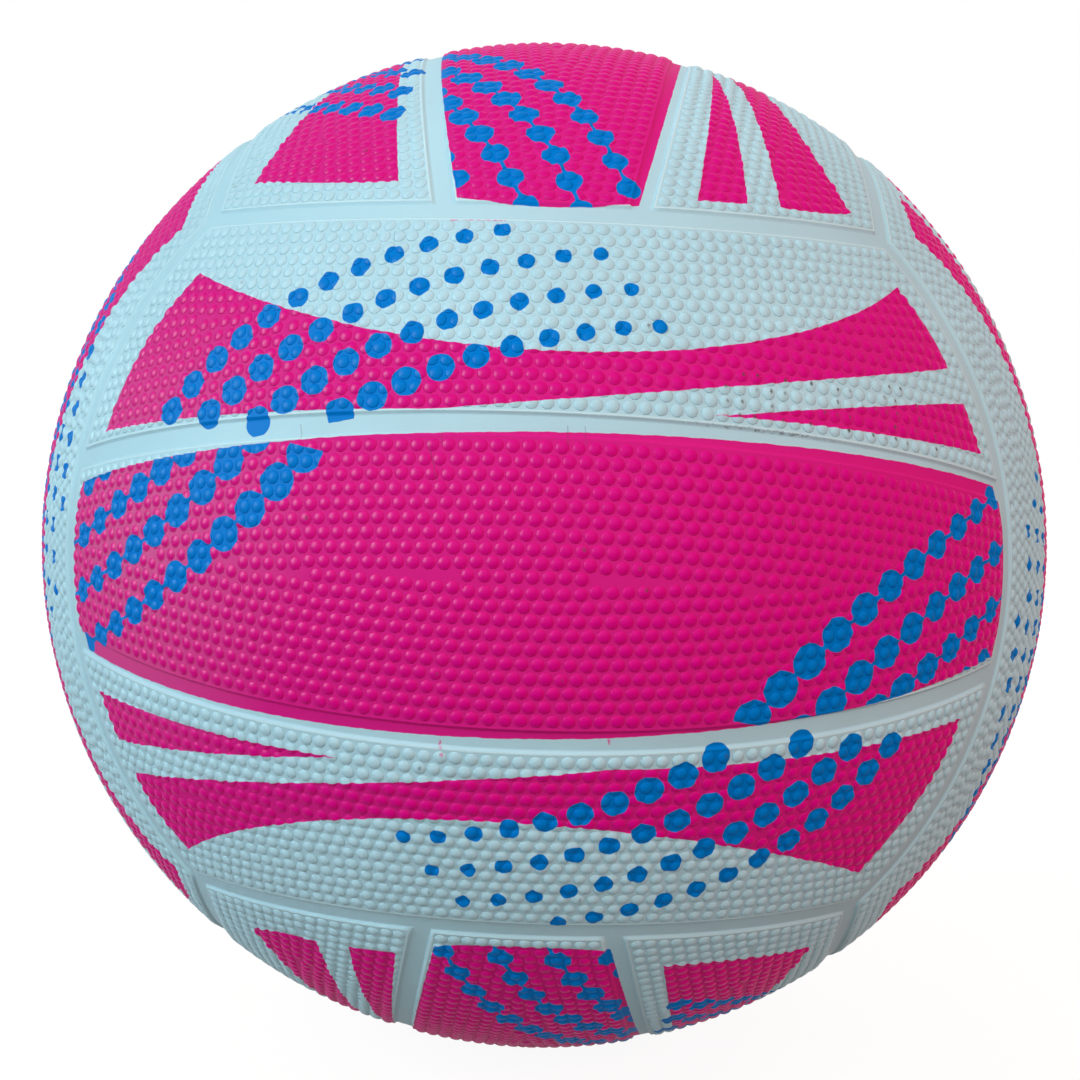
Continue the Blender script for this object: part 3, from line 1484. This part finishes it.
@dataclass
class CoverPanels:
    """The eighteen panels of the cover."""

    cell: float = 1.6
    half_length: float = 96.0
    hole_cells: int = 5
    hole_collar: float = 1.9
    shoulder: tuple[tuple[float, float], ...] = (
        (1.05, 0.0), (0.84, -0.01), (0.66, -0.035), (0.53, -0.04), (0.41, 0.02), (0.24, 0.21),
        (0.07, 0.38), (-0.04, 0.435), (-0.12, 0.451))
    foot: float = -0.14
    shape: PimpleShape = field(default_factory=PimpleShape)

    def plate(self, shell: Shell, strip: Strip, valve: bool) -> None:
        """Adds the smooth plate: two grids joined by a rounded shoulder and a wall.

        Args:
            shell: the panel's shell.
            strip: its outline.
            valve: True to leave the valve's hole in the middle.
        """
        land = SIZES.channel_w / 2
        middle = strip.grid(SIZES.land_r, land, np.array([-1.0, 0.0, 1.0]), np.array([0.0, 1.0]))
        width = np.linalg.norm(middle[1] - middle[0], axis=1).max()
        columns = 2 * round(self.half_length / self.cell)
        rows = 2 * round(width / self.cell / 2)
        across, up = np.linspace(-1, 1, columns + 1), np.linspace(0, 1, rows + 1)
        rings = [strip.grid(SIZES.land_r - drop, land + inset, across, up)
                 for inset, drop in self.shoulder]
        top = shell.add_points(rings[0])
        bottom = shell.add_points(strip.grid(SIZES.plate_in_r, land + self.foot, across, up))
        keep = np.ones((rows, columns), bool)
        if valve:
            half = self.hole_cells
            hole = (slice(rows // 2 - half, rows // 2 + half),
                    slice(columns // 2 - half, columns // 2 + half))
            keep[hole] = False
            self.valve_hole(shell, top, bottom, (rows // 2, columns // 2), half)
        shell.add_grid(top, keep=keep)
        shell.add_grid(bottom, inward=True, keep=keep)
        edge = [shell.add_points(rim_points(ring), -1.0 if drop < -0.02 else 0.0)
                for ring, (_, drop) in zip(rings[1:], self.shoulder[1:])]
        border = [rim(bottom)] + edge[::-1]
        shell.add_bridge(border + [rim(top)])

    def valve_hole(self, shell: Shell, top: np.ndarray, bottom: np.ndarray,
                   centre: tuple[int, int], half: int) -> None:
        """Joins a square gap in both grids to the round hole between them.

        Each point of the gap's border has one on every circle at the same angle round the
        valve's axis.

        Args:
            shell: the panel's shell.
            top: the outer grid's numbers.
            bottom: the inner grid's numbers.
            centre: the row and column at the axis.
            half: half the gap's size, in cells.
        """
        block = (slice(centre[0] - half, centre[0] + half + 1),
                 slice(centre[1] - half, centre[1] + half + 1))
        outer, inner = rim(top[block]), rim(bottom[block])
        points = np.concatenate(shell.points)[outer]
        angle = np.arctan2(points[:, 2], points[:, 0])
        rings = [(self.hole_collar, 0.0)] + [ring for ring in self.shoulder[1:] if ring[0] > 0]
        rings.append((0.0, SIZES.land_r - SIZES.plate_in_r))
        loops = [shell.add_points(circle_points(SIZES.hole_r + out, SIZES.land_r - drop, angle))
                 for out, drop in rings]
        shell.add_bridge([outer] + loops)
        shell.add_bridge([loops[-1], inner], flat=True)

    def build(self, materials: dict[str, bpy.types.Material]) -> None:
        """Builds and dresses every panel.

        Args:
            materials: the finishes by slot.
        """
        for entry in panel_entries():
            rng = np.random.default_rng(sum(map(ord, entry.node)))
            valve = entry.node == "back_middle_panel"
            strip = Strip(entry.place)
            shell = Shell()
            self.plate(shell, strip, valve)
            dirt = FRONT_DIRT if entry.node == "front_upper_panel" else DirtPatch()
            count = PimpleField(strip, self.shape, valve, dirt, rng).domes(shell)
            piece, points, centres = shell.build(entry.node + "_pebbled", entry.group.turn)
            for name, values in LAYOUT.fields(points, REGISTERS[entry.group]).items():
                store(piece.data, name, values, "POINT")
            for name, values in face_dots(centres, entry.group).items():
                store(piece.data, name, values, "FACE")
            slot = "pink_cover_rubber" if entry.place is Place.MIDDLE else "pale_cover_rubber"
            piece.data.materials.append(materials[slot])
            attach(piece, "root")
            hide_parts(entry.node)
            log.info("%s: %d pimples, %d faces", piece.name, count, len(piece.data.polygons))


def rim_points(grid: np.ndarray) -> np.ndarray:
    """The border of a grid of points as one loop, in the order of rim."""
    numbers = rim(np.arange(grid.shape[0] * grid.shape[1]).reshape(grid.shape[:2]))
    return grid.reshape(-1, 3)[numbers]


def circle_points(round_r: float, radius: float, angle: np.ndarray) -> np.ndarray:
    """Points of a circle round the front axis.

    The circle's radius times the cosine and the sine of each angle, and a depth that puts the
    points on the layer.

    Args:
        round_r: the circle's radius.
        radius: the radius of the ball's layer.
        angle: n angles.

    Returns:
        n x 3 points.
    """
    depth = -math.sqrt(radius ** 2 - round_r ** 2)
    return np.stack([round_r * np.cos(angle), np.full(len(angle), depth),
                     round_r * np.sin(angle)], axis=-1)


def padded(parts: list[np.ndarray], count: int, filler: float) -> np.ndarray:
    """The parts one after another, with filler up to a count.

    Args:
        parts: arrays of rows.
        count: how many rows there are in the end.
        filler: the value in the added rows.

    Returns:
        All rows.
    """
    values = np.concatenate(parts)
    rest = np.full((count - len(values),) + values.shape[1:], filler)
    return np.concatenate([values, rest])


@dataclass
class CarcassSkin:
    """The thin sphere under the panels, whose outside is the floor of the channels."""

    cells: int = 96
    hole_cells: int = 4
    inner_rings: int = 26
    pole_angle: float = 0.08
    weld_step: float = 0.01

    def outside(self, shell: Shell) -> tuple[np.ndarray, list[int]]:
        """Adds the outer face: six square grids with common borders, one for each group.

        The rows stand at equal angles, so that one grid's points meet its neighbours'.

        Args:
            shell: the skin's shell.

        Returns:
            The point numbers round the valve's gap, and each group's number of faces.
        """
        share = np.linspace(-1, 1, self.cells + 1)
        up = (1 + math.sqrt(2) * np.sin(share * math.pi / 4)) / 2
        grid = Strip(None).grid(SIZES.skin_out_r, 0, share, up)
        low, high = self.cells // 2 - self.hole_cells, self.cells // 2 + self.hole_cells
        counts = []
        for group in Group:
            numbers = shell.add_points(grid @ group.turn.T)
            keep = np.ones((self.cells, self.cells), bool)
            if group is Group.BACK:
                keep[low:high, low:high] = False
                gap = rim(numbers[low:high + 1, low:high + 1])
            shell.add_grid(numbers, keep=keep)
            counts.append(int(keep.sum()))
        return gap, counts

    def inside(self, shell: Shell, gap: np.ndarray) -> None:
        """Adds the valve's hole and the inner face.

        The inner face is rings of points round the valve's axis, at equal steps of the angle
        to it. The far pole is closed by one small face.

        Args:
            shell: the skin's shell.
            gap: the point numbers round the valve's gap.
        """
        edge = np.concatenate(shell.points)[gap]
        angle = np.arctan2(edge[:, 2], -edge[:, 0])
        back = Group.BACK.turn
        mouth = circle_points(SIZES.hole_r, SIZES.skin_out_r, angle)
        loops = [gap, shell.add_points(mouth @ back.T)]
        start = math.asin(SIZES.hole_r / SIZES.skin_in_r)
        for polar in np.linspace(start, math.pi - self.pole_angle, self.inner_rings):
            ring = circle_points(SIZES.skin_in_r * math.sin(polar), SIZES.skin_in_r, angle)
            ring[:, 1] = -SIZES.skin_in_r * math.cos(polar)
            loops.append(shell.add_points(ring @ back.T))
        shell.add_bridge(loops[:2])
        shell.add_bridge(loops[1:3], flat=True)
        shell.add_bridge(loops[2:])
        shell.add_faces(loops[-1][None, :])

    def weld(self, shell: Shell) -> None:
        """Makes points that share a place one point, by their place in whole steps.

        Args:
            shell: the skin's shell.
        """
        points = np.concatenate(shell.points)
        raised, specks = np.concatenate(shell.raised), np.concatenate(shell.specks)
        steps = np.round(points / self.weld_step).astype(np.int64)
        _, first, number = np.unique(steps, axis=0, return_index=True, return_inverse=True)
        shell.points, shell.raised, shell.specks = [points[first]], [raised[first]], [specks[first]]
        shell.faces = [(number.reshape(-1)[faces], flat) for faces, flat in shell.faces]
        shell.count = len(first)

    def print_on(self, mesh: bpy.types.Mesh, points: np.ndarray, centres: np.ndarray,
                 counts: list[int]) -> None:
        """Stores the print on the outer faces, and blank on the rest.

        The fields are kept at the faces' corners, so that each group's own print runs as far
        as the group's border.

        Args:
            mesh: the skin's mesh.
            points: n x 3 points.
            centres: the faces' centres, m x 3.
            counts: each group's number of faces, which come first in the mesh.
        """
        corner = np.zeros(len(mesh.loops), np.int32)
        mesh.loops.foreach_get("vertex_index", corner)
        at_corners: dict[str, list[np.ndarray]] = {}
        on_faces: dict[str, list[np.ndarray]] = {}
        first = 0
        for group, count in zip(Group, counts):
            last = first + count
            here = points[corner[4 * first:4 * last]] @ group.turn
            for name, values in LAYOUT.fields(here, REGISTERS[group]).items():
                at_corners.setdefault(name, []).append(values)
            for name, values in face_dots(centres[first:last] @ group.turn, group).items():
                on_faces.setdefault(name, []).append(values)
            first = last
        for name, parts in at_corners.items():
            store(mesh, name, padded(parts, len(corner), BLANK), "CORNER")
        for name, parts in on_faces.items():
            store(mesh, name, padded(parts, len(centres), 0.0), "FACE")

    def build(self, materials: dict[str, bpy.types.Material]) -> None:
        """Builds the skin and dresses it with the same print as the panels.

        Args:
            materials: the finishes by slot.
        """
        shell = Shell()
        gap, counts = self.outside(shell)
        self.inside(shell, gap)
        self.weld(shell)
        piece, points, centres = shell.build("carcass_skin_printed", np.eye(3))
        self.print_on(piece.data, points, centres, counts)
        piece.data.materials.append(materials["channel_rubber"])
        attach(piece, "root")
        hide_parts("carcass_skin")
        log.info("%s: %d faces", piece.name, len(piece.data.polygons))


@dataclass
class InnerLayers:
    """The pieces inside the skin and the valve, which keep their CAD shapes."""

    nodes: tuple[tuple[str, str], ...] = (
        ("thread_winding", "winding_thread"), ("bladder", "bladder_rubber"),
        ("valve_patch", "patch_rubber"), ("valve_boot", "valve_rubber"),
        ("valve_plug", "plug_rubber"))

    def dress(self, materials: dict[str, bpy.types.Material]) -> None:
        """Puts a finish on each CAD piece that stays.

        Args:
            materials: the finishes by slot.
        """
        for node, slot in self.nodes:
            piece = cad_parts[node]
            for place in piece.material_slots:
                place.material = materials[slot]
            log.info("%s: dressed in %s", node, slot)


def make_materials() -> dict[str, bpy.types.Material]:
    """All finishes.

    Returns:
        The materials by the record's slot.
    """
    finishes = {
        "pale_cover_rubber": PrintedRubber("pale_cover_rubber"),
        "pink_cover_rubber": PrintedRubber("pink_cover_rubber"),
        "channel_rubber": PrintedRubber("channel_rubber", rubber_rough=0.46),
        "winding_thread": WoundThread("winding_thread"),
        "bladder_rubber": PlainRubber("bladder_rubber", (0.02, 0.02, 0.022, 1), 0.42),
        "patch_rubber": PlainRubber("patch_rubber", (0.04, 0.04, 0.042, 1), 0.6),
        "valve_rubber": PlainRubber("valve_rubber", (0.03, 0.03, 0.032, 1), 0.5),
        "plug_rubber": PlainRubber("plug_rubber", (0.6, 0.59, 0.55, 1), 0.5),
    }
    return {slot: finish.make() for slot, finish in finishes.items()}


def placed(axes: np.ndarray, place: np.ndarray | tuple[float, float, float]) -> Matrix:
    """The matrix that turns and places a lamp or the camera.

    Args:
        axes: its three axes, as columns.
        place: where it stands, in metres.

    Returns:
        The 4 x 4 matrix.
    """
    whole = np.eye(4)
    whole[:3, :3], whole[:3, 3] = axes, place
    return Matrix(whole.tolist())


class LampUse(Enum):
    """What a lamp does: a lamp for shine shows only in reflections, one for light never."""

    SHINE = "shine"
    LIGHT = "light"
    BOTH = "both"


@dataclass(frozen=True)
class Lamp:
    """A soft square lamp aimed at the ball. Lengths in metres.

    The lamp for shine stands for a window that is far wider than the light it throws.
    """

    name: str
    place: tuple[float, float, float]
    size: float
    power: float
    colour: tuple[float, float, float]
    use: LampUse = LampUse.BOTH

    def build(self) -> None:
        """Adds the lamp. It shines along its own -z, so its z points away from the ball."""
        light = bpy.data.lights.new(self.name, "AREA")
        light.size, light.energy, light.color = self.size, self.power, self.colour
        lamp = bpy.data.objects.new(self.name, light)
        away = np.array(self.place) / np.linalg.norm(self.place)
        level = np.cross([0, 0, 1.0], away)
        level /= np.linalg.norm(level)
        lamp.matrix_world = placed(np.stack([level, np.cross(away, level), away], axis=1),
                                   self.place)
        lamp.visible_diffuse = self.use is not LampUse.SHINE
        lamp.visible_glossy = self.use is not LampUse.LIGHT
        bpy.context.scene.collection.objects.link(lamp)


@dataclass(frozen=True)
class WorldLobe:
    """A bright part of the world: a direction and the colour and strength at its middle."""

    towards: tuple[float, float, float]
    colour: tuple[float, float, float]


@dataclass(frozen=True)
class Studio:
    """Floor, world, lamps and camera."""

    lamps: tuple[Lamp, ...] = (
        Lamp("left_window", (-1.48, -0.72, 0.62), 0.5, 9.0, (0.64, 0.84, 1.0)),
        Lamp("window_shine", (-1.48, -0.72, 0.62), 1.1, 92.0, (0.85, 0.97, 1.0), LampUse.SHINE),
        Lamp("right_lamp", (1.3, -0.86, 0.74), 0.26, 4.2, (1.0, 0.34, 0.24), LampUse.LIGHT),
        Lamp("back_lamp", (-0.2, 1.1, 1.3), 1.0, 7.0, (1.0, 1.0, 1.0), LampUse.LIGHT),
        Lamp("behind_lamp", (0.15, 1.8, 0.1), 1.2, 18.0, (0.98, 1.0, 1.0), LampUse.LIGHT),
    )
    world_base: float = 0.03
    world_lobes: tuple[WorldLobe, ...] = (
        WorldLobe((-0.1, -0.833, 0.545), (1.52, 1.9, 1.88)),
        WorldLobe((0.894, -0.358, 0.268), (0.45, 0.1, 0.05)),
    )
    camera_away: float = 3.4857
    yaw: float = -0.0277
    pitch: float = 0.0613
    roll: float = 0.0348
    ball_px: float = 503.0
    centre_px: tuple[float, float] = (544.36, 545.06)
    frame_px: float = 1080.0
    sensor_mm: float = 36.0
    floor_reach: float = 4.0
    floor_colour: Colour = (0.2, 0.16, 0.14, 1)
    floor_rough: float = 0.9
    floor_white_share: float = 0.5
    floor_white: float = 1.86

    def camera(self) -> None:
        """Places the camera where the photograph's was.

        The ball was turned by yaw round z, then pitch round x, then roll round y, in front of
        a camera that looks along +y. The inverse turn is given to the camera instead.
        """
        cos, sin = np.cos, np.sin
        turn_z = np.array([[cos(self.yaw), -sin(self.yaw), 0], [sin(self.yaw), cos(self.yaw), 0],
                           [0, 0, 1]])
        turn_x = np.array([[1, 0, 0], [0, cos(self.pitch), -sin(self.pitch)],
                           [0, sin(self.pitch), cos(self.pitch)]])
        turn_y = np.array([[cos(self.roll), 0, sin(self.roll)], [0, 1, 0],
                           [-sin(self.roll), 0, cos(self.roll)]])
        turn = (turn_y @ turn_x @ turn_z).T
        away = self.camera_away * SIZES.ball_r * MM
        axes = np.stack([turn[:, 0], turn[:, 2], -turn[:, 1]], axis=1)
        place = turn @ np.array([0, -away, 0])
        data = bpy.data.cameras.new("camera")
        focal_px = self.ball_px * math.sqrt(self.camera_away ** 2 - 1)
        data.sensor_width = self.sensor_mm
        data.lens = focal_px / self.frame_px * self.sensor_mm
        data.shift_x = -(self.centre_px[0] / self.frame_px - 0.5)
        data.shift_y = self.centre_px[1] / self.frame_px - 0.5
        data.clip_start = 0.01
        camera = bpy.data.objects.new("camera", data)
        camera.matrix_world = placed(axes, place)
        bpy.context.scene.collection.objects.link(camera)
        bpy.context.scene.camera = camera

    def white_to_camera(self, graph: Graph, plain: bpy.types.NodeSocket,
                        output: bpy.types.NodeSocket, kind: str, share: float,
                        strength: float) -> None:
        """Shows white instead of a plain shader to camera, glossy and transmission rays.

        Args:
            graph: the nodes of the material or the world.
            plain: the shader that other rays see.
            output: the socket that takes the result.
            kind: the white shader's node type.
            share: how much of the white is shown.
            strength: the white's strength. Where the plain shader still adds its share, more
                than 1 keeps the lit parts white.
        """
        rays = graph.node("ShaderNodeLightPath").outputs
        seen = rays["Is Camera Ray"]
        for name in ("Is Glossy Ray", "Is Transmission Ray"):
            seen = graph.math("MAXIMUM", seen, rays[name])
        white = graph.node(kind, {"Color": (1, 1, 1, 1), "Strength": strength})
        mix = graph.node("ShaderNodeMixShader", {
            0: graph.math("MULTIPLY", seen, share), 1: plain, 2: white.outputs[0]})
        graph.put(output, mix.outputs[0])

    def floor(self) -> None:
        """A plain pale floor under the ball, white to the camera but for a faint shadow."""
        mesh = bpy.data.meshes.new("floor")
        low, far = -SIZES.ball_r * MM, self.floor_reach
        corners = ((-far, -far), (far, -far), (far, far), (-far, far))
        mesh.from_pydata([(x, y, low) for x, y in corners], [], [(0, 1, 2, 3)])
        floor = bpy.data.objects.new("floor", mesh)
        bpy.context.scene.collection.objects.link(floor)
        graph = Finish("floor_paper")
        graph.put(graph.shader.inputs["Base Color"], self.floor_colour)
        graph.put(graph.shader.inputs["Roughness"], self.floor_rough)
        self.white_to_camera(graph, graph.shader.outputs[0],
                             graph.found("OUTPUT_MATERIAL").inputs[0],
                             "ShaderNodeEmission", self.floor_white_share, self.floor_white)
        mesh.materials.append(graph.material)

    def world(self) -> None:
        """A world with a few bright parts, white to the camera.

        Its light is a base plus, for each part, the part's colour times the cube of the
        cosine of the angle to the part's middle, where that is positive.
        """
        world = bpy.data.worlds.new("studio_world")
        bpy.context.scene.world = world
        graph = Graph(world)
        way = graph.node("ShaderNodeTexCoord").outputs["Generated"]
        total: object = (self.world_base,) * 3
        for lobe in self.world_lobes:
            cosine = graph.vector("DOT_PRODUCT", way, lobe.towards)
            cube = graph.math("POWER", graph.math("MAXIMUM", cosine, 0.0), 3.0)
            total = graph.vector("ADD", graph.vector("SCALE", lobe.colour, cube), total)
        plain = graph.found("BACKGROUND")
        graph.put(plain.inputs["Color"], total)
        self.white_to_camera(graph, plain.outputs[0], graph.found("OUTPUT_WORLD").inputs[0],
                             "ShaderNodeBackground", 1.0, 1.0)

    def build(self) -> None:
        """Sets the whole studio up."""
        self.world()
        self.floor()
        for lamp in self.lamps:
            lamp.build()
        self.camera()
        bpy.context.scene.view_settings.view_transform = "Standard"


def main() -> None:
    """Builds every sub-assembly in order."""
    logging.basicConfig(level=logging.INFO, format="%(message)s")
    materials = make_materials()
    CoverPanels().build(materials)
    CarcassSkin().build(materials)
    InnerLayers().dress(materials)
    Studio().build()


if __name__ == "__main__":
    main()
